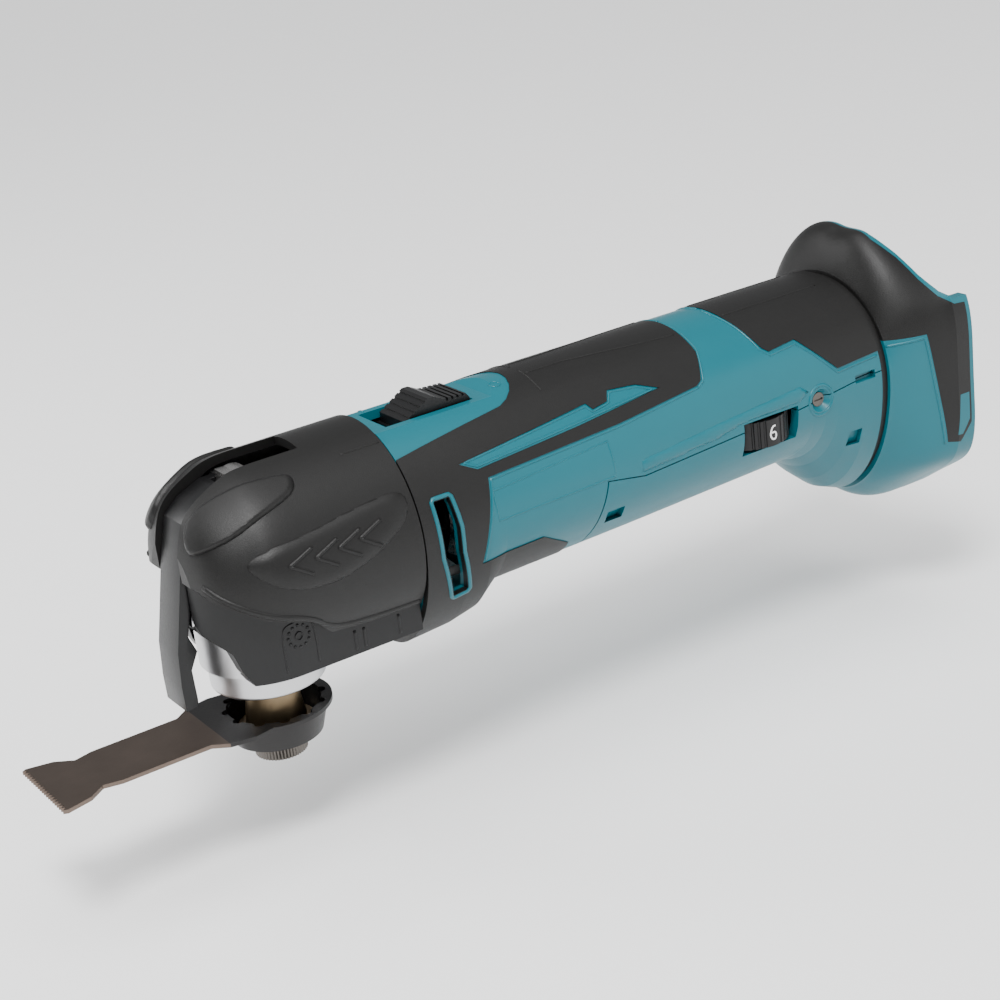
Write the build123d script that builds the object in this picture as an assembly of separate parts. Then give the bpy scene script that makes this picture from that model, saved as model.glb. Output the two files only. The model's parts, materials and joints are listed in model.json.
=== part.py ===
from build123d import *
import math
import os

# Cordless oscillating multi-tool without its battery. Millimetres. The spindle stands along Z at
# X = 0, Y = 0, the barrel lies along X with the head at -X, and the origin is the accessory seat.
# Heights below are counted from the barrel's axis, and save() lifts them by AXIS_HEIGHT.

AXIS_HEIGHT = 53.3          # accessory seat to barrel axis

# Barrel
BARREL_R = 30.7             # top half of the section
WALL = 3.4
GRIP_STEP = 1.8             # how deep the rubber sits in the housing
GRIP_PROUD = 0.3            # how far it stands out
SPLIT_GAP = 0.4             # between main housing and lower cover
# Depth of the section's lower half along the barrel: the front flange, the slim grip, the rear belly
DEPTHS = [(40.2, 39.0), (54, 38.0), (62, 36.0), (68, 28.6), (120, 27.4), (186, 25.2), (191, 26.6),
          (196, 30.6), (202, 37.0), (208, 42.0), (214.8, 44.6)]

# Head
HEAD_R = 31.6
BOOT_WALL = 2.6
SKIRT_R = 24.0
SKIRT_WALL = 3.0
SKIRT_BOTTOM = -28.0
SLOT_HALF = 7.2             # lever slot
# Lower edge of the rubber boot, seen from the side
BOOT_LINE = [(-40, 3.8), (-23.6, 3.3), (-21, 0), (-10.5, -6.3), (2.6, -10.4), (9.4, -17.2), (22.8, -19),
             (50, -19.6)]

# Gear housing
CASE_R = 19.0
COLLAR_R = 17.0
COLLAR_BOTTOM = -36.3
CAVITY_R = 15.5
LOWER_BEARING = (-33.0, -25.0)
UPPER_BEARING = (9.5, 14.5)
GEAR_SCREWS = [(22.1, 8.0), (-22.1, 8.0), (22.1, -8.0), (-22.1, -8.0)]
BEARING_R = 14.0

# Spindle and clamp
SPINDLE_R = 8.0
NECK_R = 7.0
FLANGE_R = 11.5
SEAT = -53.3
BOLT_R = 3.0
KNURL_R = 7.8
BLADE_T = 1.2
BLADE_Z = -46.1             # underside of the flat blade
HUB_R = 17.2
RUNNING = 0.05              # radial clearance of a running fit
CHAMBER_R = 5.2             # spring chamber in the spindle
PIN_R = 2.0
PIN_TRAVEL = 1.5

# Lever
PIVOT_Z = 23.5
PIVOT_R = 2.0
LEVER_HALF = 6.5
LEVER_OPEN = 120.0
CAM_LOW = 4.0               # cam radius over the release pin when shut

# Drive
THROW = 0.84                # eccentric offset
ECCENTRIC_X = (26.0, 34.0)
FORK_GAP = 7.7              # half the gap between the tines
CAN_R = 19.0
CAN_X = (64.0, 122.0)
RIB_X = (80.0, 110.0)

# Controls
SCREW_AT = (188.7, 0.7)
KNOB_X = (52.0, 74.6)
KNOB_TRAVEL = 6.0
POCKET_X = (45.2, 75.2)
POCKET_HALF = 8.0
PANEL_TOP = 28.8            # flat of the switch panel
ROD_Z = (19.3, 21.8)
DIAL_X = 168.0
DIAL_Y = -18.3
DIAL_R = 13.0
DIAL_Z = (-8.2, 0.6)

# Battery shroud
SHROUD_FRONT = 218.2
# Where the top, the sides and the bottom have flared out to, along the shroud
SHROUD_FLARES = [(218.2, 0.0, 0.0, 0.0), (220.6, 0.62, 0.12, 0.25), (224.0, 1.0, 0.34, 0.6),
                 (231.0, 1.0, 0.7, 0.95), (240.0, 1.0, 1.0, 1.0)]
# Half outline of the battery seat in Y and Z, from the top to the bottom, and the bearing of each
# point on the barrel's round section
SEAT_OUTLINE = [(0, 43.1), (10.5, 42.7), (18.5, 39.4), (25.4, 34.8), (31.4, 29.2), (36.4, 23), (38.9, 14),
                (39.3, 2), (39.4, -12), (39.0, -24), (36.0, -33), (27.5, -39.8), (18.5, -45.6), (9.5, -50.8),
                (0, -52.6)]
SEAT_ANGLES = [90, 76, 62, 49, 37, 26, 15, 3, -12, -26, -39, -52, -65, -78, -90]
SHROUD_REAR = 247.0
SHROUD_WALL = 3.2
RUBBER_T = 1.5              # rubber over the shroud

FAR = 90.0                  # long enough to cut right through


def save(shape, node):
    """Write one piece, lifted from the barrel's axis to the accessory seat."""
    export_step(Pos(0, 0, AXIS_HEIGHT) * shape, f"parts/{node}.step")


def tube_x(radius, x0, x1, y=0.0, z=0.0):
    return Pos((x0 + x1) / 2, y, z) * Rot(0, 90, 0) * Cylinder(radius, x1 - x0)


def tube_y(radius, y0, y1, x=0.0, z=0.0):
    return Pos(x, (y0 + y1) / 2, z) * Rot(90, 0, 0) * Cylinder(radius, y1 - y0)


def tube_z(radius, z0, z1, x=0.0, y=0.0):
    return Pos(x, y, (z0 + z1) / 2) * Cylinder(radius, z1 - z0)


def block(x0, x1, y0, y1, z0, z1):
    return Pos((x0 + x1) / 2, (y0 + y1) / 2, (z0 + z1) / 2) * Box(x1 - x0, y1 - y0, z1 - z0)


def side_prism(points, y0=-FAR, y1=FAR):
    """A side outline in X and Z, carried across from y0 to y1."""
    face = make_face(Polyline(*[(x, y0, z) for x, z in points], close=True).edges())
    return extrude(face, amount=y1 - y0, dir=(0, 1, 0))


def top_prism(points, z0, z1):
    """A plan outline in X and Y, carried up from z0 to z1."""
    face = make_face(Polyline(*[(x, y, z0) for x, y in points], close=True).edges())
    return extrude(face, amount=z1 - z0, dir=(0, 0, 1))


def both_sides(points):
    return points + [(x, -y) for x, y in reversed(points)]


# ---- barrel ----

def barrel_section(x, depth, inset):
    """Half circle over half ellipse, drawn across the barrel at x."""
    radius = BARREL_R - inset
    plane = Plane(origin=(x, 0, 0), x_dir=(0, 1, 0), z_dir=(1, 0, 0))
    top = CenterArc((0, 0), radius, 0, 180)
    low = EllipticalCenterArc((0, 0), radius, depth - inset, 180, arc_size=180)
    return plane * make_face([top, low])


def barrel(inset):
    sections = [barrel_section(x, depth, inset) for x, depth in DEPTHS]
    return loft(sections, ruled=True)


def front_grip_region():
    outline = [(30, 60), (150.2, 60), (150.2, 25), (146.1, 18.3), (144, 17.3), (113, 14.6), (64.8, 12.5),
               (58.9, -12.4), (81.5, -11.7), (92.7, -18.5), (96, -60), (30, -60)]
    spear = [(57.4, 17.9), (62.7, 15.2), (100, 17.3), (131.3, 19.8), (124, 22.4), (114.1, 23.2),
             (112.1, 20.8), (106.4, 20.1), (105, 21.9)]
    return side_prism(outline) - side_prism(spear) - bezel_region()


def rear_grip_region():
    outline = [(167.5, 60), (167.5, 31), (172.4, 21), (174.2, 19.6), (185.3, 20.5), (197.1, 8.9),
               (220, 10.2), (220, 60)]
    return side_prism(outline)


def cover_region(gap=0.0):
    """Lower cover's side outline, grown by the gap of the split line."""
    outline = [(99, -70), (101, -19), (104.8, -0.9), (118.4, -3.3), (155.6, -1.2), (179.7, 0),
               (203, 2.6), (220, 3.4), (220, -70)]
    return side_prism([(x - gap if x < 110 else x, z + gap) for x, z in outline])


def bezel_region():
    """Switch panel on top of the barrel: tapered, with a round rear end."""
    turns = [math.radians(a) for a in range(0, 91, 15)]
    rear = [(76 + 14 * math.sin(a), 15.8 * math.cos(a)) for a in turns[:-1]]
    return top_prism(both_sides([(30, 21.8)] + rear + [(90, 0.6)]), 8, 60)


def vent_slots():
    outline = [(45.6, 11), (50.7, 11), (52, 2), (52, -6), (54.4, -19.4), (49.6, -20), (46.4, -6), (46.0, 2)]
    return side_prism(outline)


def dial_window():
    return block(157, 179, -FAR, -19, -9.3, 1.7)


def screw_bores():
    """Bores for the housing screws, each with a conical mouth."""
    x, z = SCREW_AT
    cut = Part()
    for side in (-1, 1):
        y0, y1 = sorted((side * 24, side * 40))
        cut += tube_y(1.7, y0, y1, x, z)
        y0, y1 = sorted((side * 28.2, side * 40))
        cut += tube_y(2.4, y0, y1, x, z)
        mouth = Pos(x, side * 29.9, z) * Rot(side * -90, 0, 0) * Cone(2.3, 4.1, 2.0)
        cut += mouth
    return cut


def side_notches(outer, middle):
    """Shallow square notches and the pry slots on both sides."""
    cuts = block(202, 207, -60, 60, -20, -14.5) + block(105, 111.5, -60, 60, -15.6, -11.4)
    cuts += block(203.5, 212, -60, 60, 2.0, 4.6)
    return (outer - middle) & cuts


def knob_pocket():
    return block(*POCKET_X, -POCKET_HALF, POCKET_HALF, 23.4, 60)


def knob_tray():
    """Floor under the knob, slotted for the stem that drives the rod."""
    tray = block(44.8, 76.5, -17, 17, 22.1, 23.3)
    return tray - block(KNOB_X[0] - KNOB_TRAVEL + 1.4, KNOB_X[0] + 8.6, -3.2, 3.2, 20, 25)


def panel_flat():
    """What is planed off the top of the switch panel."""
    return side_prism([(30, PANEL_TOP), (80, PANEL_TOP), (87, 32), (87, 60), (30, 60)])


def motor_ribs():
    """Two rings that carry the motor, notched at the top for the switch rod."""
    ribs = Part()
    for x in RIB_X:
        ribs += tube_x(BARREL_R - WALL + 0.6, x, x + 3) - tube_x(CAN_R + 0.1, x - 1, x + 4)
    return ribs - block(60, 130, -4, 4, 0, 40)


def main_housing(outer, middle, inner):
    shell = outer - inner
    grips = front_grip_region() + rear_grip_region() + bezel_region()
    shell -= (outer - middle) & grips
    cover = cover_region(SPLIT_GAP)
    case = shell - cover + ((motor_ribs() & middle) - cover) + (knob_tray() & middle)
    case -= side_notches(outer, middle)
    under_panel = panel_flat() & bezel_region()
    return case - vent_slots() - dial_window() - screw_bores() - knob_pocket() - under_panel


def lower_cover(outer, middle, inner):
    cover = (outer - inner) & cover_region()
    return cover - dial_window() - screw_bores() - side_notches(outer, middle)


def front_grip(proud, middle):
    return ((proud - middle) & front_grip_region()) - vent_slots()


def rear_grip(proud, middle):
    return (proud - middle) & rear_grip_region()


def switch_bezel(outer, middle):
    return ((outer - middle) & bezel_region()) - knob_pocket() - panel_flat()


# ---- head ----

def boot_profile(inset):
    """Turned outline of the head: blunt nose, round shoulder, straight back to the body."""
    r = HEAD_R - inset
    x0 = -24.0 + inset
    nose = [(x0, 0), (x0, 13 - inset / 2)]
    brow = [(x0, 13 - inset / 2), (-19.6 + inset, 23.2 - inset / 2), (-10.5 + inset, 29.0 - inset), (4, r)]
    curve = Spline(*brow, tangents=[(0.25, 1), (1, 0)])
    back = Polyline((4, r), (39.4, r), (39.4, 0), nose[0])
    plane_xz = Plane(origin=(0, 0, 0), x_dir=(1, 0, 0), z_dir=(0, -1, 0))
    return plane_xz * make_face([Line(*nose), curve] + back.edges())


def head_turned(inset):
    return revolve(boot_profile(inset), Axis.X)


def lever_slot():
    """Open to the front and the top, so that the lever swings out of it."""
    outline = [(17, 60), (17, 22.5), (8, 18.6), (4, 17.05), (-13, 17.05), (-17.2, 13), (-18.6, 2),
               (-20.8, -12), (-21.4, -16), (-21.4, -45), (-70, -45), (-70, 60)]
    return side_prism(outline, -SLOT_HALF, SLOT_HALF)


def above_boot_line():
    return side_prism(BOOT_LINE + [(50, 50), (-40, 50)])


def head_boot_solid():
    return (head_turned(0) - head_turned(BOOT_WALL)) & above_boot_line()


def head_boot():
    return head_boot_solid() - lever_slot() - tube_x(28.4, 30, 50)


def skirt_plan(radius, x_rear, z0, z1):
    return tube_z(radius, z0, z1) + block(0, x_rear, -radius, radius, z0, z1)


def head_skirt():
    """Plastic skirt under the boot, shallower in front, where the collar shows below it."""
    tucked = [(x, z + 2.5) for x, z in BOOT_LINE]
    plan = skirt_plan(SKIRT_R, 39.4, SKIRT_BOTTOM, 5) - side_prism(tucked + [(50, 50), (-40, 50)])
    plan -= head_boot_solid()
    inner = skirt_plan(SKIRT_R - SKIRT_WALL, 37, SKIRT_BOTTOM + 2, 6)
    way_r = CASE_R + 0.3
    case_way = tube_z(way_r, SKIRT_BOTTOM - 1, 6) + block(0, 45, -way_r, way_r, -19.3, 14)
    front_cut = side_prism([(-40, -8.5), (-23, -8.8), (-22, -12.9), (-17, -18), (-15.5, -23.7), (-13, -28.5),
                            (-13, -40), (-40, -40)])
    lamp = block(26.5, 33.5, -6.5, 6.5, SKIRT_BOTTOM - 1, SKIRT_BOTTOM + 3)
    return plan - inner - case_way - front_cut - lever_slot() - lamp


def gear_housing():
    case = tube_z(CASE_R, -28, 13) + block(0, 40, -CASE_R, CASE_R, -19, 13)
    case += tube_z(COLLAR_R, COLLAR_BOTTOM, -28)
    case += tube_x(27.0, 40, 44)
    case = fillet(case.edges().filter_by(GeomType.CIRCLE).sort_by(Axis.Z)[0], 1.2)
    case -= tube_z(CAVITY_R, -9, 14) + block(0, 38, -CAVITY_R, CAVITY_R, -9, 9)
    case -= tube_z(BEARING_R, LOWER_BEARING[0], -8) + tube_z(SPINDLE_R + 0.6, -40, -30)
    case -= tube_x(8.0, 37, 41) + tube_x(5.0, 40, 46)
    for y, z in GEAR_SCREWS:
        case -= tube_x(2.1, 38, 46, y, z)
    return case - lever_slot()


def gear_case_cap():
    """Closes the gear housing, holds the upper bearing and carries the lever's ears."""
    cap = tube_z(CASE_R - 0.1, 13, 17) + tube_z(CAVITY_R - 0.1, UPPER_BEARING[0], 13)
    for side in (-1, 1):
        y0, y1 = sorted((side * 7.5, side * 10.0))
        cap += block(-3.4, 4.5, y0, y1, 15, 26.0)
    cap -= tube_z(12.0, UPPER_BEARING[0] - 1, UPPER_BEARING[1])
    cap -= tube_z(PIN_R + 0.3, 14, 18) + tube_z(3.4, 15.4, 18)
    return cap - lever_slot() - tube_y(PIVOT_R, -12, 12, 0, PIVOT_Z)


# ---- spindle and clamp ----

def ring_z(outer, inner, z0, z1):
    return tube_z(outer, z0, z1) - tube_z(inner, z0 - 1, z1 + 1)


def spindle():
    body = tube_z(SPINDLE_R, -36, 14.4) + tube_z(FLANGE_R, SEAT, -51.3) + tube_z(9.6, -51.3, -50.2)
    body += Pos(0, 0, -43.65) * Cone(NECK_R + 2.2, NECK_R, 15.3)
    body -= tube_z(BOLT_R + RUNNING, SEAT - 1, -17)
    body -= tube_z(CHAMBER_R, -18, 12.4)
    return body - tube_z(PIN_R + 0.3, 12, 16)


def swing_fork():
    """Hub clamped on the spindle, and two tines that straddle the eccentric's bearing."""
    fork = tube_z(12.5, -6, 6) + block(8, 22, -10.5, 10.5, -4.5, 4.5)
    for side in (-1, 1):
        near = side * FORK_GAP
        far = side * (FORK_GAP + 3.6)
        fork += block(20, 36, min(near, far), max(near, far), -4.5, 4.5)
    return fork - tube_z(SPINDLE_R, -7, 7)


def clamp_springs():
    """Stack of coned washers, set alternately up and down."""
    washers = []
    pitch = 2.4
    for i in range(8):
        low = -9.4 + i * pitch
        rise = 0.9 if i % 2 else -0.9
        points = [(2.6, low + 1.0 - rise / 2), (5.0, low + 1.0 + rise / 2), (5.0, low + 1.5 + rise / 2),
                  (2.6, low + 1.5 - rise / 2)]
        face = make_face(Polyline(*[(x, 0, z) for x, z in points], close=True).edges())
        washers.append(revolve(face, Axis.Z))
    return Compound(washers)


def release_pin():
    return tube_z(PIN_R, -8.2, 17.2) + tube_z(3.0, 17.2, PIVOT_Z - CAM_LOW - 0.3)


def clamp_bolt():
    """Stem with grip grooves and a knurled head below the blade."""
    under = SEAT - BLADE_T
    bolt = tube_z(BOLT_R, under, -20) + tube_z(KNURL_R - 0.5, under - 1.6, under)
    bolt += tube_z(KNURL_R, -60.5, under - 1.6)
    for i in range(4):
        z = -27.5 + i * 1.8
        bolt -= ring_z(BOLT_R + 1, BOLT_R - 0.5, z, z + 0.8)
    count = 48
    for i in range(count):
        bolt -= Rot(0, 0, i * 360 / count) * Pos(KNURL_R, 0, -58.6) * Rot(0, 0, 45) * Box(0.5, 0.5, 5)
    return bolt


def blade_hub():
    """Dished hub with a twelve-lobed mouth and a wide neck towards the blade."""
    top = BLADE_Z + BLADE_T
    neck = [(-21.5, 14.6), (-14, 16.2), (-8, 15.2)]
    plate = tube_z(HUB_R, BLADE_Z, top) + top_prism(both_sides(neck), BLADE_Z, top)
    drop = BLADE_Z - SEAT
    wall = Pos(0, 0, (BLADE_Z + SEAT - BLADE_T) / 2) * Cone(13.4, 15.8, drop + BLADE_T)
    bowl = Pos(0, 0, (top + SEAT) / 2) * Cone(12.1, 14.0, top - SEAT)
    hub = plate + wall - bowl
    for i in range(12):
        hub -= Rot(0, 0, 15 + i * 30) * Pos(13.9, 0, top) * Cylinder(1.7, 2.6)
    return hub - tube_z(BOLT_R + 0.4, -60, -50)


def blade():
    """Flat cutting shank with a toothed front edge, welded to the hub at the bend."""
    top = BLADE_Z + BLADE_T
    shank = top_prism(both_sides([(-71.0, 15.4), (-63.5, 13.6), (-58.5, 9.8), (-53, 11.2), (-26, 11.2),
                                  (-21.5, 14.6)]), BLADE_Z, top)
    pitch = 1.55
    for i in range(-10, 10):
        y = i * pitch
        tooth = [(-71.0, y), (-72.4, y + pitch / 2), (-71.0, y + pitch)]
        shank += top_prism(tooth, BLADE_Z, top)
    return shank


# ---- lever ----

def lever_handle():
    outline = [(3.4, 26.4), (-8, 26.0), (-15.5, 22.8), (-20.1, 18.8), (-21.4, 14.4), (-23, 8.8),
               (-25.5, -2.7), (-28.7, -17.2), (-29.4, -27.3), (-29.3, -35.0), (-25.5, -34.8),
               (-25.3, -32.1), (-25.5, -23.2), (-22.9, -18.2), (-24.8, -13.1), (-21.8, -2.6),
               (-19.4, 8.6), (-17.9, 14.6), (-8.4, 20.2), (-4, 19.6), (3.4, 20.6)]
    handle = side_prism(outline, -LEVER_HALF, LEVER_HALF)
    handle -= block(-6.2, 10, -3.2, 3.2, 10, 40)
    return handle - tube_y(PIVOT_R + RUNNING, -10, 10, 0, PIVOT_Z)


def lever_cam():
    """Steel cam between the lever's cheeks: its radius grows evenly as the lever opens."""
    points = []
    for degrees in range(0, 361, 10):
        lift = PIN_TRAVEL * min(degrees, LEVER_OPEN) / LEVER_OPEN
        if degrees > LEVER_OPEN + 10:
            lift = PIN_TRAVEL * (360 - degrees) / (350 - LEVER_OPEN)
        radius = CAM_LOW + lift
        angle = math.radians(degrees)
        points.append((radius * math.sin(angle), PIVOT_Z - radius * math.cos(angle)))
    cam = side_prism(points[:-1], -3.1, 3.1)
    cam += block(-4.4, 2.4, -3.1, 3.1, 26, 28.4)
    return cam - tube_y(PIVOT_R + RUNNING, -10, 10, 0, PIVOT_Z)


# ---- drive ----

def ring_x(outer, inner, x0, x1, y=0.0, z=0.0):
    return tube_x(outer, x0, x1, y, z) - tube_x(inner, x0 - 1, x1 + 1, y, z)


def motor_can():
    can = tube_x(CAN_R, *CAN_X) - tube_x(CAN_R - 1.5, CAN_X[0] + 1.5, CAN_X[1] + 1)
    return can - tube_x(7.0, CAN_X[0] - 1, CAN_X[0] + 3)


def magnets():
    ring = ring_x(CAN_R - 1.6, 15.2, 72, 108)
    return ring - block(60, 120, -4, 4, -30, 30)


def armature_core():
    """Laminated stack with slots for the windings."""
    core = ring_x(14.5, 2.5, 74, 106)
    count = 12
    for i in range(count):
        core -= Rot(i * 360 / count, 0, 0) * block(70, 110, -1.3, 1.3, 7.5, 20)
    return core


def windings():
    ends = [ring_x(13.2, 4.0, 67.6, 74), ring_x(13.2, 4.0, 106, 111.5)]
    return Compound(ends)


def commutator():
    drum = ring_x(6.0, 2.5, 113, 121)
    count = 12
    for i in range(count):
        drum -= Rot(i * 360 / count, 0, 0) * block(112, 122, -0.25, 0.25, 5.2, 7)
    return drum


def cooling_fan():
    fan = ring_x(18.5, 2.5, 54.5, 56) + ring_x(5.0, 2.5, 47.5, 55)
    count = 11
    for i in range(count):
        fan += Rot(i * 360 / count, 0, 0) * block(48, 55, -0.6, 0.6, 4.5, 18.3)
    return fan


def eccentric():
    disc = tube_x(3.4, *ECCENTRIC_X, 0, THROW)
    return disc - tube_x(2.2, ECCENTRIC_X[0] - 1, ECCENTRIC_X[1] + 1)


def rotor_shaft():
    return tube_x(2.2, 24, 38) + tube_x(2.5, 38, 131)


def end_cap():
    cap = tube_x(CAN_R, CAN_X[1], 133) - tube_x(CAN_R - 2.5, CAN_X[1] - 1, 128)
    cap -= tube_x(7.0, 126, 132)
    for side in (-1, 1):
        cap -= block(120, 127.5, min(side * 6, side * 20), max(side * 6, side * 20), -3.4, 3.4)
    return cap


def brush_gear():
    """Holders, brushes and springs, one of each on both sides of the commutator."""
    holders = []
    brushes = []
    springs = []
    for side in (-1, 1):
        def span(a, b):
            return min(side * a, side * b), max(side * a, side * b)
        holders.append(block(114, 120, *span(7, 15), -3, 3) - block(113, 121, *span(6, 13.6), -2.2, 2.2))
        brushes.append(block(115, 119, *span(6.3, 11.2), -2.1, 2.1))
        springs.append(tube_y(1.6, *span(11.2, 13.6), 117, 0))
    return Compound(holders), Compound(brushes), Compound(springs)


# ---- controls ----

def slide_knob():
    """Thumb piece: ribbed nose rising to a crest, then a plain block and a lower ribbed tail."""
    front, rear = KNOB_X
    outline = [(front, 25.0), (front, 28.0), (front + 8.4, 33.0), (front + 10.4, 33.0), (front + 13.6, 31.4),
               (rear - 1.2, 31.0), (rear, 29.4), (rear, 25.0)]
    knob = side_prism(outline, -7.2, 7.2)
    for i in range(4):
        x = front + 1.0 + i * 1.9
        knob -= Pos(x + 0.4, 0, 28.9 + i * 1.12) * Rot(0, -31, 0) * Box(0.8, 20, 0.9)
    for i in range(4):
        x = front + 14.6 + i * 1.8
        knob -= block(x, x + 0.7, -10, 10, 30.4, 35)
    knob += block(front - 0.8, rear, -10, 10, 23.6, 25.0)
    return knob + block(front + 2, front + 8, -2.6, 2.6, ROD_Z[1], 23.6)


def link_rod():
    return block(KNOB_X[0] + 2, 141, -2.6, 2.6, *ROD_Z)


def on_number_pad(angle):
    """Whether the dial's rim is left smooth here, for one of its six numbers."""
    return any(abs((angle - 270 + 50 * step + 180) % 360 - 180) < 13 for step in range(6))


def speed_dial():
    dial = tube_z(DIAL_R, *DIAL_Z, DIAL_X, DIAL_Y)
    count = 40
    for i in range(count):
        angle = 360 / count * (i + 0.5)
        if not on_number_pad(angle):
            groove = Rot(0, 0, angle) * Pos(DIAL_R, 0, -3.8) * Cylinder(0.5, 12)
            dial -= Pos(DIAL_X, DIAL_Y, 0) * groove
    return dial + tube_z(2.5, -12.1, DIAL_Z[0], DIAL_X, DIAL_Y)


# ---- shroud ----

def shroud_section(x, top, side, bottom, inset):
    """Section across the shroud. Each flare runs from 0, the barrel's section, to 1, the battery seat."""
    plane = Plane(origin=(x, 0, 0), x_dir=(0, 1, 0), z_dir=(1, 0, 0))
    half = []
    for (y, z), degrees in zip(SEAT_OUTLINE, SEAT_ANGLES):
        a = math.radians(degrees)
        depth = BARREL_R if degrees > 0 else 45.6
        if degrees > 0:
            flare = side + (top - side) * math.sin(a) ** 2
        else:
            flare = side + (bottom - side) * math.sin(a) ** 2
        y_mix = BARREL_R * math.cos(a) * (1 - flare) + y * flare
        z_mix = depth * math.sin(a) * (1 - flare) + z * flare
        keep = 1 - inset / math.hypot(y_mix, z_mix)
        half.append((y_mix * keep, z_mix * keep))
    ring = half + [(-y, z) for y, z in reversed(half[1:-1])]
    return plane * make_face(Spline(*ring, periodic=True))


def shroud_solid(inset):
    sections = [shroud_section(x, top, side, bottom, inset) for x, top, side, bottom in SHROUD_FLARES]
    neck = loft(sections)
    last = SHROUD_FLARES[-1][0]
    return neck + extrude(sections[-1], amount=SHROUD_REAR - last, dir=(1, 0, 0))


def shroud_cut():
    """The rim steps down behind the tongue in an S, where the battery drops in from the top."""
    return side_prism([(228.8, 90), (228.8, 42.4), (232.4, 36.6), (235, 29.8), (238, 24.6), (241.5, 21.9),
                       (270, 21.4), (270, 90)])


def shroud_grip_region():
    """Rubber over the saddle and down the side, short of the rim, with a plain badge left bare."""
    outline = [(200, 11), (230, 12.5), (236, -26), (241, -27), (245.4, -21), (245.4, 19.9), (241, 20.3),
               (237, 23.3), (233.9, 28.8), (231.2, 35.6), (227.3, 41.4), (227.3, 90), (200, 90)]
    badge = [(240.7, -10.4), (244.6, -10.4), (244.6, -19.6), (241.6, -24.4), (239.6, -24.2)]
    return side_prism(outline) - side_prism(badge)


def rear_shell(solid, inner):
    cavity = inner & block(227.5, 270, -60, 60, -70, 90)
    bore = inner & block(200, 224.2, -60, 60, -70, 90)
    return solid - cavity - bore - shroud_cut() - block(220, 230, -12, 12, -12, 12)


def terminal_block():
    return block(227.6, 234, -14, 14, -14, 20) - block(232, 236, -9, 9, -10, 16)


def terminals():
    return Compound([block(232, 241, side * 6 - 0.6, side * 6 + 0.6, -8, 14) for side in (-1, 1)])


def battery_rails(inner):
    rails = []
    for side in (-1, 1):
        y0, y1 = sorted((side * 30, side * 38))
        rails.append(block(237, 241, y0, y1, -28, 14) & inner)
    return Compound([solid for rail in rails for solid in rail.solids()])


def seal_ring():
    sections = [barrel_section(x, 44.8, 1.2) for x in (214.8, SHROUD_FRONT)]
    holes = [barrel_section(x, 44.8, 4.0) for x in (214.0, SHROUD_FRONT + 1)]
    return loft(sections, ruled=True) - loft(holes, ruled=True)


def gear_screws():
    screws = []
    for y, z in GEAR_SCREWS:
        screws.append(tube_x(1.9, 40, 47, y, z) + tube_x(2.8, 37.8, 40, y, z))
    return Compound(screws)


def housing_screws():
    """One on each side, with a slotted head."""
    x, z = SCREW_AT
    screws = []
    for side in (-1, 1):
        y0, y1 = sorted((side * 24.5, side * 28.2))
        head0, head1 = sorted((side * 28.2, side * 29.2))
        slot0, slot1 = sorted((side * 28.8, side * 29.4))
        head = tube_y(2.3, head0, head1, x, z) - block(x - 1.7, x + 1.7, slot0, slot1, z - 0.35, z + 0.35)
        screws.append(tube_y(1.5, y0, y1, x, z) + head)
    return Compound(screws)


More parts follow.
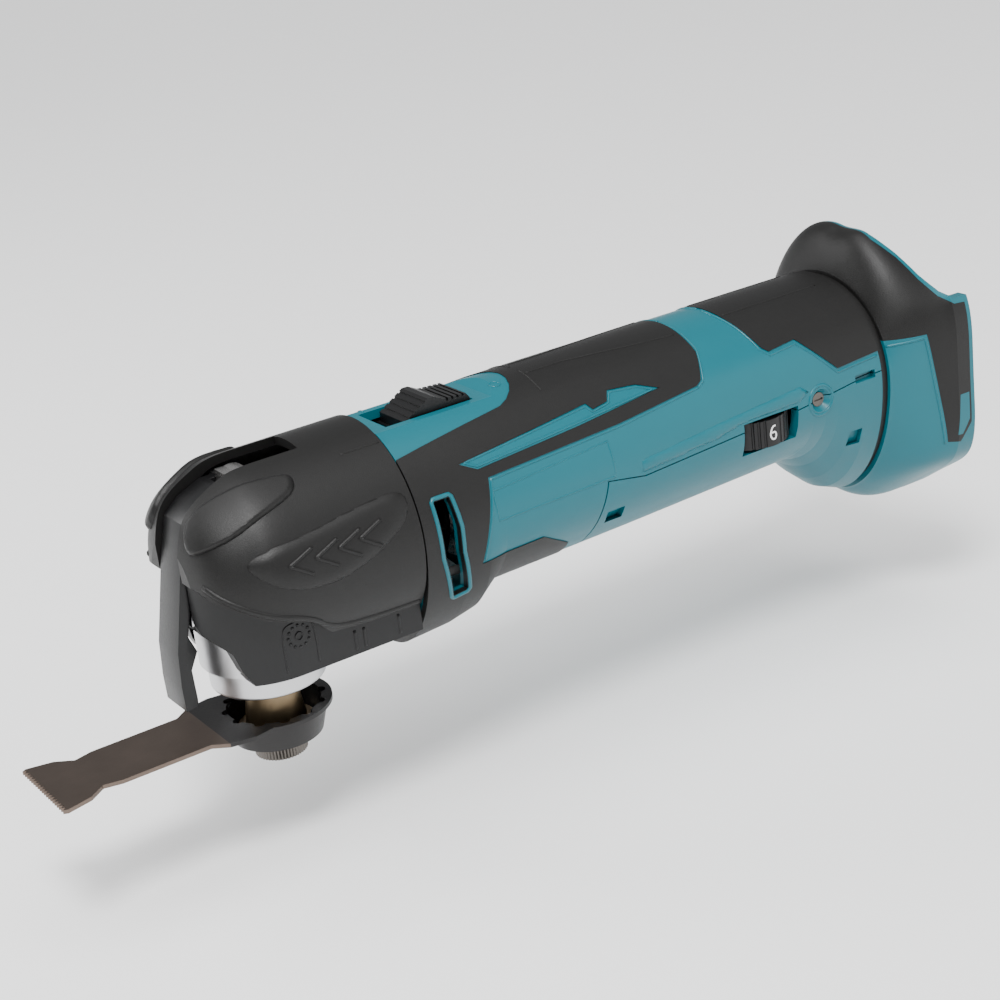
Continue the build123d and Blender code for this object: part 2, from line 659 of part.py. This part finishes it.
def main():
    os.makedirs("parts", exist_ok=True)
    outer = barrel(0)
    proud = barrel(-GRIP_PROUD)
    middle = barrel(GRIP_STEP)
    inner = barrel(WALL)
    save(main_housing(outer, middle, inner), "main_housing")
    save(lower_cover(outer, middle, inner), "lower_cover")
    save(front_grip(proud, middle), "front_grip")
    save(rear_grip(proud, middle), "rear_grip")
    save(switch_bezel(outer, middle), "switch_bezel")

    save(head_boot(), "head_boot")
    save(head_skirt(), "head_skirt")
    save(gear_housing(), "gear_housing")
    save(gear_case_cap(), "gear_case_cap")
    save(tube_y(PIVOT_R, -10.0, 10.0, 0, PIVOT_Z), "lever_pin")
    save(ring_z(BEARING_R, SPINDLE_R + RUNNING, *LOWER_BEARING), "lower_spindle_bearing")
    save(ring_z(12.0, SPINDLE_R + RUNNING, *UPPER_BEARING), "upper_spindle_bearing")
    save(block(27, 33, -6, 6, SKIRT_BOTTOM, SKIRT_BOTTOM + 2), "work_light_lens")
    save(block(26, 34, -8, 8, SKIRT_BOTTOM + 3, SKIRT_BOTTOM + 4.4), "work_light_board")
    save(gear_screws(), "gear_housing_screws")

    save(spindle(), "spindle")
    save(swing_fork(), "swing_fork")
    save(ring_z(5.1, BOLT_R + RUNNING, -18, -10), "clamp_jaws")
    save(clamp_springs(), "clamp_springs")
    save(release_pin(), "release_pin")
    save(clamp_bolt(), "clamp_bolt")
    save(blade_hub(), "blade_hub")
    save(blade(), "plunge_blade")
    save(lever_handle(), "lever_handle")
    save(lever_cam(), "lever_cam")

    save(motor_can(), "motor_can")
    save(magnets(), "motor_magnets")
    save(end_cap(), "motor_end_cap")
    save(armature_core(), "armature_core")
    save(windings(), "windings")
    save(commutator(), "commutator")
    save(cooling_fan(), "cooling_fan")
    save(rotor_shaft(), "rotor_shaft")
    save(eccentric(), "eccentric")
    save(ring_x(6.0, 3.4, *ECCENTRIC_X, 0, THROW), "eccentric_bearing")
    save(ring_x(8.0, 2.5 + RUNNING, 38, 41), "front_motor_bearing")
    save(ring_x(7.0, 2.5 + RUNNING, 128, 131.5), "rear_motor_bearing")
    holders, brushes, springs = brush_gear()
    save(holders, "brush_holders")
    save(brushes, "brushes")
    save(springs, "brush_springs")

    save(slide_knob(), "slide_knob")
    save(link_rod(), "link_rod")
    save(block(148.5, 174, -7, 7, 10, 23), "switch_body")
    save(block(140, 206, -20.6, 14, -14, -12.4), "controller_board")
    save(speed_dial(), "speed_dial")

    solid = shroud_solid(0)
    hollow = shroud_solid(SHROUD_WALL)
    shell = rear_shell(solid, hollow)
    rubber = (shell - shroud_solid(RUBBER_T)) & shroud_grip_region()
    save(shell - rubber, "rear_shroud")
    save(rubber, "shroud_grip")
    save(seal_ring(), "seal_ring")
    save(terminal_block(), "terminal_block")
    save(terminals(), "terminals")
    save(battery_rails(hollow), "battery_rails")
    save(housing_screws(), "housing_screws")


main()
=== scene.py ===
import json
import math

import bmesh
import bpy
from mathutils import Matrix, Vector
from mathutils.bvhtree import BVHTree


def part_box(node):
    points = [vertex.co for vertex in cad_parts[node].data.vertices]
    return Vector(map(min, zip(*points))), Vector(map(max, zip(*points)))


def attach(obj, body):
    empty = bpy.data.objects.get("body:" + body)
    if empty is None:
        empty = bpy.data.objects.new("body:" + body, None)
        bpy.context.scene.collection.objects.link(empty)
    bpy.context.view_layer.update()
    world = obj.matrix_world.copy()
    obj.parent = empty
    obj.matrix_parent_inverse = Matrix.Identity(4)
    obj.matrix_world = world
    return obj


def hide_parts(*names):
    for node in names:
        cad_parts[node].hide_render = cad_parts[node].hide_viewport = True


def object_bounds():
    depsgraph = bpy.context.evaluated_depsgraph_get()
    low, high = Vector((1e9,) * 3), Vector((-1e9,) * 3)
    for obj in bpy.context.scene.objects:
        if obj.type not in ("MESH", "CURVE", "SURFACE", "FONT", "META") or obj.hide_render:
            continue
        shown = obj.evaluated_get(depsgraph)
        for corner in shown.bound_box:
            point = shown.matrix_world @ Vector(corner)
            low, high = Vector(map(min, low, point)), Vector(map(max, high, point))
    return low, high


# Cordless oscillating multi-tool. Metres. The barrel's axis lies along X at AXIS, the head is at -X,
# and the side with the speed dial faces -Y.

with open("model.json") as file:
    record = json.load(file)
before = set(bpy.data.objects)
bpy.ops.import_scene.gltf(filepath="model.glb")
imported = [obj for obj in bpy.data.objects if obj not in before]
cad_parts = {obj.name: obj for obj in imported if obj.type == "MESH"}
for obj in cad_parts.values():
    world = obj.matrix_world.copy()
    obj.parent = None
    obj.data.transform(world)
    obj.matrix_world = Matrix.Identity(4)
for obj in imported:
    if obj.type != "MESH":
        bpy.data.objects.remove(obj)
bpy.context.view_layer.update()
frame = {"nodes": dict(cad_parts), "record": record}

MM = 0.001
REACH = 0.07  # from the barrel's axis out to where a ray starts
NOSE_REACH = 0.02  # from the spindle back to where a ray from the front starts
DIAL_REACH = 0.03
NOSE_TURN = 2  # degrees that a ray turns forwards for each millimetre ahead of the spindle
CREST = 0.22  # half the width of a raised line's flat top, as a share of its whole width
SINK = 0.3  # how far a raised shape reaches under the surface, in millimetres
JOINT_R = 28.4  # of the joint between boot and housing, in millimetres
NUMBER_STEP = 50  # degrees from one number on the dial to the next
NUMBER_DROP = 3.8  # from the barrel's axis down to the middle of a number, in millimetres
FLOOR_SIZE = 12
AXIS = (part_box("rotor_shaft")[0].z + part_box("rotor_shaft")[1].z) / 2
MIDDLE = Vector((0.1, 0, AXIS))

# ---- materials ----

TEAL = (0.0006, 0.108, 0.140, 1)
RUBBER = (0.0062, 0.0060, 0.0058, 1)
PLASTIC = (0.0045, 0.0045, 0.0048, 1)
ALUMINIUM = (0.60, 0.60, 0.61, 1)
STEEL = (0.46, 0.45, 0.44, 1)
DARK_STEEL = (0.12, 0.11, 0.10, 1)
TAN = (0.27, 0.20, 0.12, 1)
BLADE = (0.15, 0.115, 0.095, 1)
COPPER = (0.55, 0.24, 0.10, 1)
BOARD = (0.01, 0.11, 0.04, 1)
WHITE = (0.80, 0.80, 0.80, 1)
PALE = (0.93, 0.93, 0.93, 1)

MOTTLE = 60  # scale of the broad noise in every colour
ROUGH_SPREAD = 0.06
COAT_ROUGH = 0.25
GRAIN_DEPTH = 0.0002


def noise(tree, scale, detail, rough, stretch=(1, 1, 1)):
    """Noise over the object's own coordinates, stretched along its axes."""
    place = tree.nodes.new("ShaderNodeTexCoord")
    mapping = tree.nodes.new("ShaderNodeMapping")
    mapping.inputs["Scale"].default_value = stretch
    made = tree.nodes.new("ShaderNodeTexNoise")
    made.inputs["Scale"].default_value = scale
    made.inputs["Detail"].default_value = detail
    made.inputs["Roughness"].default_value = rough
    tree.links.new(place.outputs["Object"], mapping.inputs["Vector"])
    tree.links.new(mapping.outputs["Vector"], made.inputs["Vector"])
    return made


def spread(tree, source, low, high):
    """Map a 0 to 1 texture onto low to high."""
    made = tree.nodes.new("ShaderNodeMapRange")
    made.inputs["From Min"].default_value = 0.3
    made.inputs["From Max"].default_value = 0.7
    made.inputs["To Min"].default_value = low
    made.inputs["To Max"].default_value = high
    tree.links.new(source, made.inputs["Value"])
    return made.outputs["Result"]


def scaled(colour, k):
    return (colour[0] * k, colour[1] * k, colour[2] * k, 1)


def surface(name, colour, rough, metal=0.0, grain=1500, bump=0.06, vary=0.10, stretch=(1, 1, 1),
            coat=0.0, specular=0.5):
    """Moulded, cast or ground surface: mottled colour, uneven gloss and a fine grain."""
    mat = bpy.data.materials.new(name)
    mat.use_nodes = True
    tree = mat.node_tree
    shader = tree.nodes["Principled BSDF"]
    shader.inputs["Metallic"].default_value = metal
    shader.inputs["Coat Weight"].default_value = coat
    shader.inputs["Coat Roughness"].default_value = COAT_ROUGH
    shader.inputs["Specular IOR Level"].default_value = specular

    broad = noise(tree, MOTTLE, 5, 0.6)
    fine = noise(tree, grain, 3, 0.6, stretch)
    tint = tree.nodes.new("ShaderNodeMix")
    tint.data_type = "RGBA"
    tint.inputs["A"].default_value = scaled(colour, 1 - vary)
    tint.inputs["B"].default_value = scaled(colour, 1 + vary)
    tree.links.new(broad.outputs["Fac"], tint.inputs["Factor"])
    tree.links.new(tint.outputs["Result"], shader.inputs["Base Color"])
    rough_out = spread(tree, fine.outputs["Fac"], rough - ROUGH_SPREAD, rough + ROUGH_SPREAD)
    tree.links.new(rough_out, shader.inputs["Roughness"])
    lift = tree.nodes.new("ShaderNodeBump")
    lift.inputs["Strength"].default_value = bump
    lift.inputs["Distance"].default_value = GRAIN_DEPTH
    tree.links.new(fine.outputs["Fac"], lift.inputs["Height"])
    tree.links.new(lift.outputs["Normal"], shader.inputs["Normal"])
    return mat


def lens_material():
    mat = surface("clear_lens", (0.86, 0.89, 0.92, 1), 0.12, grain=900, bump=0.03, vary=0.03)
    mat.node_tree.nodes["Principled BSDF"].inputs["Transmission Weight"].default_value = 0.7
    return mat


MATERIALS = {
    "teal_plastic": surface("teal_plastic", TEAL, 0.34, grain=2600, bump=0.10, vary=0.05, coat=0.06,
                            specular=0.34),
    "black_rubber": surface("black_rubber", RUBBER, 0.46, grain=3200, bump=0.30, vary=0.16, specular=0.30),
    "black_plastic": surface("black_plastic", PLASTIC, 0.36, grain=2400, bump=0.16, vary=0.12, specular=0.32),
    "cast_aluminium": surface("cast_aluminium", ALUMINIUM, 0.34, 1.0, 1400, 0.12, 0.06, stretch=(1, 1, 6)),
    "bright_steel": surface("bright_steel", STEEL, 0.30, 1.0, 1600, 0.08, 0.08, stretch=(6, 1, 1)),
    "dark_steel": surface("dark_steel", DARK_STEEL, 0.38, 1.0, 1500, 0.10, 0.15),
    "tan_spindle": surface("tan_spindle", TAN, 0.36, 1.0, 1200, 0.10, 0.16, stretch=(1, 1, 8)),
    "blade_steel": surface("blade_steel", BLADE, 0.36, 1.0, 700, 0.10, 0.26, stretch=(1, 7, 1)),
    "copper": surface("copper", COPPER, 0.30, 1.0, 3000, 0.30, 0.12, stretch=(1, 8, 8)),
    "circuit_board": surface("circuit_board", BOARD, 0.40, grain=900, bump=0.05),
    "clear_lens": lens_material(),
    "dial_white": surface("dial_white", WHITE, 0.45, grain=2600, bump=0.05, vary=0.04),
    "hub_black": surface("hub_black", (0.022, 0.021, 0.021, 1), 0.34, 0.6, 1300, 0.12, 0.18),
}

for entry in frame["record"]["subparts"]:
    piece = frame["nodes"][entry["node"]]
    piece.data.materials.clear()
    piece.data.materials.append(MATERIALS[entry["material_slot"]])


# ---- mesh helpers ----

def finish_piece(name, bm, body, slot, material=None):
    """Smooth shaded object from a mesh, which rides on a body and belongs to a slot."""
    bmesh.ops.recalc_face_normals(bm, faces=bm.faces)
    mesh = bpy.data.meshes.new(name)
    bm.to_mesh(mesh)
    bm.free()
    obj = bpy.data.objects.new(name, mesh)
    bpy.context.scene.collection.objects.link(obj)
    mesh.materials.append(MATERIALS[material or slot])
    mesh.shade_smooth()
    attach(obj, body)
    return obj


def skin(*nodes):
    """Search tree over the outside of some CAD nodes."""
    points = []
    faces = []
    for name in nodes:
        mesh = frame["nodes"][name].data
        start = len(points)
        points += [frame["nodes"][name].matrix_world @ v.co for v in mesh.vertices]
        faces += [[start + i for i in face.vertices] for face in mesh.polygons]
    return BVHTree.FromPolygons(points, faces)


def round_ray(side, x, angle):
    """Towards the barrel's axis. Angle 0 is straight out to the side and 90 is on top. Ahead of the
    spindle the rays turn forwards about its centre instead, to meet the nose."""
    out = Vector((0, side * math.cos(math.radians(angle)), math.sin(math.radians(angle))))
    forwards = math.radians(max(0, -x) * NOSE_TURN)
    out = out * math.cos(forwards) + Vector((-1, 0, 0)) * math.sin(forwards)
    return Vector((max(0, x) * MM, 0, AXIS)) + out * REACH, -out


def side_ray(side, x, z):
    return Vector((x * MM, side * REACH, AXIS + z * MM)), Vector((0, -side, 0))


def front_ray(side, y, z):
    return Vector((NOSE_REACH, side * y * MM, AXIS + z * MM)), Vector((1, 0, 0))


def top_ray(side, x, y):
    return Vector((x * MM, side * y * MM, AXIS + REACH)), Vector((0, 0, -1))


def dial_ray(side, arc, z):
    """Towards the dial's axis, with the arc in degrees from where its number is read."""
    low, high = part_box("speed_dial")
    centre = Vector(((low.x + high.x) / 2, (low.y + high.y) / 2, AXIS + z * MM))
    turn = math.radians(arc - 90)
    out = Vector((math.cos(turn), math.sin(turn), 0))
    return centre + out * DIAL_REACH, -out


def landed(tree, ray, side, point):
    """Where a ray meets the surface, or the place nearest to its middle if it misses, and the way out."""
    origin, direction = ray(side, *point)
    place, normal, _, _ = tree.ray_cast(origin, direction)
    if place is None:
        place, normal, _, _ = tree.find_nearest(origin + direction * REACH / 2)
    if normal.dot(direction) > 0:
        normal = -normal
    return place, normal


def solid_from(points, normals, heights, faces, sink):
    """Closed shell: the faces lifted by each point's height, and sunk into the surface underneath."""
    bm = bmesh.new()
    top = [bm.verts.new(p + n * h * MM) for p, n, h in zip(points, normals, heights)]
    under = [bm.verts.new(p - n * sink * MM) for p, n in zip(points, normals)]
    for face in faces:
        bm.faces.new([top[i] for i in face])
        bm.faces.new([under[i] for i in reversed(face)])
    edges = [pair for face in faces for pair in zip(face, face[1:] + face[:1])]
    shared = set(edges)
    for a, b in edges:
        if (b, a) not in shared:
            bm.faces.new([top[b], top[a], under[a], under[b]])
    return bm


def band(name, tree, ray, side, path, width, lift, slot, body="root", closed=False, material=None,
         step=0.8, sink=SINK):
    """Raised line of a given width that follows a path over a surface, with sloped flanks."""
    ends = list(zip(path, path[1:] + path[:1])) if closed else list(zip(path, path[1:]))
    dots = []
    for (a, b), (c, d) in ends:
        count = max(1, round(math.hypot(c - a, d - b) / step))
        dots += [(a + (c - a) * i / count, b + (d - b) * i / count) for i in range(count)]
    if not closed:
        dots.append(path[-1])
    middles = [landed(tree, ray, side, dot) for dot in dots]
    points = []
    normals = []
    heights = []
    total = len(dots)
    for i, (place, normal) in enumerate(middles):
        ahead = middles[(i + 1) % total if closed else min(i + 1, total - 1)][0]
        behind = middles[(i - 1) % total if closed else max(i - 1, 0)][0]
        across = (ahead - behind).cross(normal).normalized()
        for share, height in ((-0.5, 0.0), (-CREST, lift), (CREST, lift), (0.5, 0.0)):
            points.append(place + across * share * width * MM)
            normals.append(normal)
            heights.append(height)
    faces = []
    for i in range(total if closed else total - 1):
        j = (i + 1) % total
        for k in range(3):
            faces.append([i * 4 + k, i * 4 + k + 1, j * 4 + k + 1, j * 4 + k])
    finish_piece(name, solid_from(points, normals, heights, faces, sink), body, slot, material)


def plate(name, tree, ray, side, outline, lift, rim, slot, cell=1.2):
    """Raised panel over a surface, with its edge falling away over the rim's width."""
    flat = bmesh.new()
    flat.faces.new([flat.verts.new((a, b, 0)) for a, b in outline])
    bmesh.ops.triangulate(flat, faces=flat.faces)
    for axis in (0, 1):
        low = min(point[axis] for point in outline)
        high = max(point[axis] for point in outline)
        for i in range(1, int((high - low) / cell) + 1):
            place = [0, 0, 0]
            place[axis] = low + i * cell
            way = [0, 0, 0]
            way[axis] = 1
            bmesh.ops.bisect_plane(flat, geom=flat.verts[:] + flat.edges[:] + flat.faces[:],
                                   plane_co=place, plane_no=way)
    bmesh.ops.remove_doubles(flat, verts=flat.verts, dist=0.01)
    flat.verts.index_update()
    corners = [Vector((a, b)) for a, b in outline]
    points = []
    normals = []
    heights = []
    for vert in flat.verts:
        spot = vert.co.xy
        gap = min(edge_gap(spot, a, b) for a, b in zip(corners, corners[1:] + corners[:1]))
        place, normal = landed(tree, ray, side, spot)
        points.append(place)
        normals.append(normal)
        share = min(1, gap / rim)
        heights.append(lift * share * (2 - share))
    faces = [[v.index for v in face.verts] for face in flat.faces]
    flat.free()
    finish_piece(name, solid_from(points, normals, heights, faces, SINK), "root", slot)


def edge_gap(spot, a, b):
    """Distance from a spot to the edge between two corners."""
    along = b - a
    share = max(0, min(1, (spot - a).dot(along) / along.length_squared))
    return (spot - a - along * share).length


def rounded(path, rounds, closed=True):
    """Cut the corners of a path, which rounds them."""
    for _ in range(rounds):
        pairs = list(zip(path, path[1:] + path[:1])) if closed else list(zip(path, path[1:]))
        cut = []
        for (a, b), (c, d) in pairs:
            cut += [(a * 0.75 + c * 0.25, b * 0.75 + d * 0.25), (a * 0.25 + c * 0.75, b * 0.25 + d * 0.75)]
        path = cut if closed else [path[0]] + cut[1:-1] + [path[-1]]
    return path


def circle(x, y, radius, count=20):
    return [(x + radius * math.cos(math.tau * i / count), y + radius * math.sin(math.tau * i / count))
            for i in range(count)]


def softened(node, body, slot, width, flat=0.5, sharp=18):
    """Stands for a CAD node, with the same shape. Edges under the flat angle are dissolved, and those over
    the sharp angle are rounded off. Both are in degrees."""
    bm = bmesh.new()
    bm.from_mesh(frame["nodes"][node].data)
    bm.transform(frame["nodes"][node].matrix_world)
    bmesh.ops.remove_doubles(bm, verts=bm.verts, dist=1e-6)
    bmesh.ops.dissolve_limit(bm, angle_limit=math.radians(flat), verts=bm.verts, edges=bm.edges)
    whole = [edge for edge in bm.edges if edge.is_manifold]
    corners = [edge for edge in whole if edge.calc_face_angle() > math.radians(sharp)]
    bmesh.ops.bevel(bm, geom=corners, offset=width * MM, segments=3, profile=0.5, affect="EDGES",
                    clamp_overlap=True)
    obj = finish_piece(node + "_soft", bm, body, slot)
    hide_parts(node)


# ---- head ----

softened("lever_handle", "lever", "black_plastic", 0.5)
boot = skin("head_boot")
skirt = skin("head_skirt")
housing = skin("main_housing")
grip = skin("front_grip", "main_housing", "switch_bezel", "lower_cover")
shroud = skin("rear_shroud", "shroud_grip")
SIDES = ((-1, "near"), (1, "far"))


def boot_details(side, which):
    """Pad beside the lever slot, sculpted flank, four grip arrows, lip along the lower edge, a dark ring of
    painted shade where the gap to the housing falls in shadow, and a seam on top."""
    pad = [(-22.8, 64.6), (-26.0, 52), (-25.2, 42), (-20, 38), (-12.7, 37.4), (-3.9, 42), (5.7, 47.6),
           (8.4, 51.4), (9.4, 56), (9.2, 60), (6, 61.5), (-7.8, 65), (-12, 66.5), (-18, 66.5)]
    plate("boot_pad_" + which, boot, round_ray, side, rounded(pad, 1), 1.4, 1.8, "black_rubber", 1.0)
    flank = [(-13, 22), (-6, 26), (4, 26.5), (24, 32), (37.5, 33.5), (37.5, 20), (30, 10), (21, 2.6),
             (10, -2.1), (-2.9, 1.6), (-10, 12)]
    plate("boot_flank_" + which, boot, round_ray, side, rounded(flank, 2), 0.8, 6, "black_rubber", 1.4)
    for i, (x, angle) in enumerate(((-2.1, 14.4), (5.8, 14.3), (13.2, 15.2), (20.0, 16.1))):
        arrow = [(x + 7.6, angle + 5.6), (x, angle), (x + 6.2, angle - 7.0)]
        band(f"boot_arrow_{which}_{i + 1}", boot, round_ray, side, arrow, 1.5, 1.25, "black_rubber", sink=0.5)
    lip = [(-22.5, 4.6), (-20, 1.4), (-10.5, -4.8), (2, -8.8), (9, -15.4), (22, -17.4), (38.5, -17.9)]
    band("boot_lip_" + which, boot, side_ray, side, rounded(lip, 2, False), 1.8, 0.45, "black_rubber")
    # Thin black sheet on the housing round the joint: painted shade that stands in for the shadow in the gap
    # between boot and housing.
    turns = [math.radians(degrees) for degrees in range(-62, -4, 4)]
    gap_shade_ring = [(JOINT_R * math.cos(turn), JOINT_R * math.sin(turn)) for turn in turns]
    band("joint_gap_shade_" + which, housing, front_ray, side, gap_shade_ring, 3.4, 0.05, "black_rubber")
    seam = [(26, 62), (38.5, 62)]
    band("boot_seam_" + which, boot, round_ray, side, seam, 0.7, 0.22, "black_rubber")


def skirt_details(side, which):
    """Upright joints in the skirt, and on the near side a dot-ring icon in a rounded frame."""
    for i, x in enumerate((17.5, 20.5, 32.0)):
        joint = [(x, -20.6), (x, -26.5)]
        band(f"skirt_joint_{which}_{i + 1}", skirt, side_ray, side, joint, 0.9, 0.3, "black_plastic")
    if side > 0:
        return
    middle_x, middle_z = 0.4, -16.0
    ring_r, dot_r, dots = 3.3, 0.52, 12
    for i in range(dots):
        angle = math.tau * i / dots
        dot = circle(middle_x + ring_r * math.cos(angle), middle_z + ring_r * math.sin(angle), dot_r, 10)
        plate(f"icon_dot_{i + 1:02d}", skirt, side_ray, side, dot, 0.32, 0.2, "black_plastic", 0.6)
    core = [(middle_x - 1.5, middle_z), (middle_x, middle_z + 1.6), (middle_x + 1.5, middle_z),
            (middle_x, middle_z - 1.6)]
    band("icon_core", skirt, side_ray, side, rounded(core, 2), 0.5, 0.3, "black_plastic",
         closed=True, step=0.4)
    frame_path = [(-4.6, -25.6), (-4.6, -14.5), (-3.2, -11.6), (4.0, -11.6), (5.4, -14.5), (5.4, -25.6)]
    band("icon_frame", skirt, side_ray, side, rounded(frame_path, 2, False), 0.5, 0.25, "black_plastic")


# ---- body ----

def body_details(side, which):
    """Teal lips along the rubber's edges and round the vent, border of the side panel, side belt, and boss
    round the screw."""
    vent = [(44.9, 11.0), (45.6, 11.8), (50.9, 11.8), (51.6, 11.0), (52.8, 2), (52.8, -6), (55.2, -19.2),
            (54.4, -20.3), (49.6, -20.9), (48.8, -20.2), (45.6, -6), (45.2, 2)]
    band("vent_lip_" + which, grip, side_ray, side, vent, 1.3, 0.45, "teal_plastic", closed=True)
    spear = [(59.2, 17.7), (62.9, 15.9), (100, 18.0), (129, 19.9), (123.8, 21.7), (114.5, 22.5),
             (112.5, 20.2), (106, 19.4), (104.6, 21.1)]
    band("spear_lip_" + which, grip, side_ray, side, spear, 0.8, 0.3, "teal_plastic", closed=True)
    edge = [(144.2, 16.6), (113, 13.8), (65.6, 11.7), (60.0, -11.4)]
    band("grip_lip_" + which, grip, side_ray, side, edge, 0.9, 0.35, "teal_plastic")
    crown = [(151, 88), (151, 55), (147, 35.5), (144.2, 32.7)]
    band("grip_crown_lip_" + which, grip, round_ray, side, crown, 0.9, 0.35, "teal_plastic")
    rear_edge = [(166.8, 88), (166.8, 78), (171.6, 42.4), (174.0, 37), (185.0, 38.8), (196.8, 14.6),
                 (213.8, 16.4)]
    band("rear_lip_" + which, grip, round_ray, side, rear_edge, 0.9, 0.35, "teal_plastic")
    plaque = [(64.9, 8.4), (65.4, -0.6), (107.4, 0.2), (106.9, 11.0)]
    band("plaque_border_" + which, grip, side_ray, side, plaque, 0.55, 0.16, "teal_plastic", closed=True)
    belt = [(117.4, 2.1), (147, 4.8), (181, 7.2), (184, 4.8), (180, 2.6), (156, 2.3), (147, 0.4),
            (117.2, -1.7)]
    plate("side_belt_" + which, grip, side_ray, side, belt, 0.5, 0.9, "teal_plastic")
    boss = circle(188.7, 0.7, 4.9, 24)
    band("screw_boss_" + which, grip, side_ray, side, boss, 1.0, 0.3, "teal_plastic", closed=True)


def shroud_details(side, which):
    """Teal lip beside the rubber."""
    edge = [(218.4, 10.2), (229.3, 11.5), (235.0, -26.2)]
    band("shroud_lip_" + which, shroud, side_ray, side, edge, 0.9, 0.35, "teal_plastic")


def top_seams():
    """Fine parting lines along the top of the rubber, with a cross line on the front part."""
    over = skin("front_grip", "rear_grip")
    for side, which in SIDES:
        for name, path in (("rubber_seam_", [(96, 80), (109, 80), (136, 73), (148.5, 71)]),
                           ("rubber_cross_", [(95.4, 86), (94.9, 62)]),
                           ("rear_seam_", [(169, 74), (208, 74)])):
            band(name + which, over, round_ray, side, path, 0.6, 0.2, "black_rubber")


def switch_marks():
    """Bar and ring moulded beside the knob."""
    bezel = skin("switch_bezel")
    band("mark_on", bezel, top_ray, 1, [(47.6, 9.0), (47.6, 12.0)], 0.7, 0.25, "teal_plastic")
    band("mark_off", bezel, top_ray, -1, circle(84.5, 5.6, 1.6), 0.6, 0.25, "teal_plastic", closed=True)


# ---- dial ----

# Strokes of the six numbers, counted in degrees round the rim and millimetres up it
NUMBERS = {
    "1": [[(-2, 0.9), (1, 2.2), (1, -2.2)]],
    "2": [[(-5, 1.2), (-3, 2.2), (2, 2.2), (4, 1.0), (-5, -2.2), (5, -2.2)]],
    "3": [[(-5, 2.2), (4, 2.2), (-1, 0.4), (4, -0.6), (3, -1.9), (-5, -2.2)]],
    "4": [[(3, -2.2), (3, 2.2), (-5, -0.8), (6, -0.8)]],
    "5": [[(5, 2.2), (-4, 2.2), (-4, 0.3), (3, 0.3), (5, -0.9), (2, -2.2), (-5, -2.0)]],
    "6": [[(4, 2.1), (-1, 2.0), (-5, 0.2), (-5, -1.2), (-2, -2.2), (3, -2.2), (5, -1.0), (3, 0.1),
           (-3, 0.0)]],
}


def dial_numbers():
    """White numbers round the dial, with the 6 where it is read."""
    rim = skin("speed_dial")
    for step, text in enumerate(("6", "5", "4", "3", "2", "1")):
        for stroke in NUMBERS[text]:
            path = [(a - NUMBER_STEP * step, b - NUMBER_DROP) for a, b in rounded(stroke, 1, False)]
            band("number_" + text, rim, dial_ray, -1, path, 0.62, 0.08, "black_plastic", "dial",
                 material="dial_white", step=0.7)


for side, which in SIDES:
    boot_details(side, which)
    skirt_details(side, which)
    body_details(side, which)
    shroud_details(side, which)
top_seams()
switch_marks()
dial_numbers()


# ---- camera, lights and floor ----

def add_camera():
    """The view that the tool is seen from: from its dial side, ahead and above, with a slight roll."""
    place = Vector((-0.216546, -0.497542, 0.221669 + AXIS))
    forward = Vector((0.48190519, 0.7951838, -0.36803548)).normalized()
    roll = math.radians(7.05)
    level_right = forward.cross(Vector((0, 0, 1))).normalized()
    level_up = level_right.cross(forward)
    right = level_right * math.cos(roll) - level_up * math.sin(roll)
    up = level_right * math.sin(roll) + level_up * math.cos(roll)
    data = bpy.data.cameras.new("camera")
    data.lens = 73.84
    data.sensor_width = 36
    data.clip_start = 0.01
    camera = bpy.data.objects.new("camera", data)
    turn = Matrix((right, up, -forward)).transposed().to_4x4()
    camera.matrix_world = Matrix.Translation(place) @ turn
    bpy.context.scene.collection.objects.link(camera)
    bpy.context.scene.camera = camera


def add_light(name, place, size, watts):
    """Round soft light that points at the middle of the tool."""
    data = bpy.data.lights.new(name, "AREA")
    data.shape = "DISK"
    data.size = size
    data.energy = watts
    light = bpy.data.objects.new(name, data)
    light.location = place
    light.rotation_euler = (MIDDLE - Vector(place)).to_track_quat("-Z", "Y").to_euler()
    bpy.context.scene.collection.objects.link(light)


def add_sky():
    """Wide, even light from above, so that the floor is as pale far off as it is near the tool."""
    data = bpy.data.lights.new("sky", "SUN")
    data.angle = math.radians(70)
    data.energy = 2.8
    light = bpy.data.objects.new("sky", data)
    light.rotation_euler = (math.radians(12), math.radians(-10), 0)
    bpy.context.scene.collection.objects.link(light)


def add_floor():
    """Low enough that the bolt and its blade, drawn right down, still show above it."""
    joints = {joint["name"]: joint for joint in frame["record"]["behaviour"]["joints"]}
    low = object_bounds()[0].z - joints["bolt_pull"]["range_m"][1]
    bpy.ops.mesh.primitive_plane_add(size=FLOOR_SIZE, location=(MIDDLE[0], 0, low - MM / 2))
    floor = bpy.context.object
    floor.name = "floor"
    floor.data.materials.append(surface("floor", PALE, 0.9, grain=40, bump=0.0, vary=0.01, specular=0.1))


def add_world():
    world = bpy.data.worlds.new("studio")
    world.use_nodes = True
    shown = world.node_tree.nodes["Background"]
    shown.inputs["Color"].default_value = (0.97, 0.985, 1, 1)
    shown.inputs["Strength"].default_value = 0.42
    bpy.context.scene.world = world


add_camera()
add_world()
add_floor()
add_sky()
add_light("key", (-0.30, -0.55, 1.05), 0.36, 15)
add_light("fill", (0.8, -0.8, 0.4), 0.9, 3)
add_light("rim", (-0.6, 0.7, 0.5), 0.5, 5)
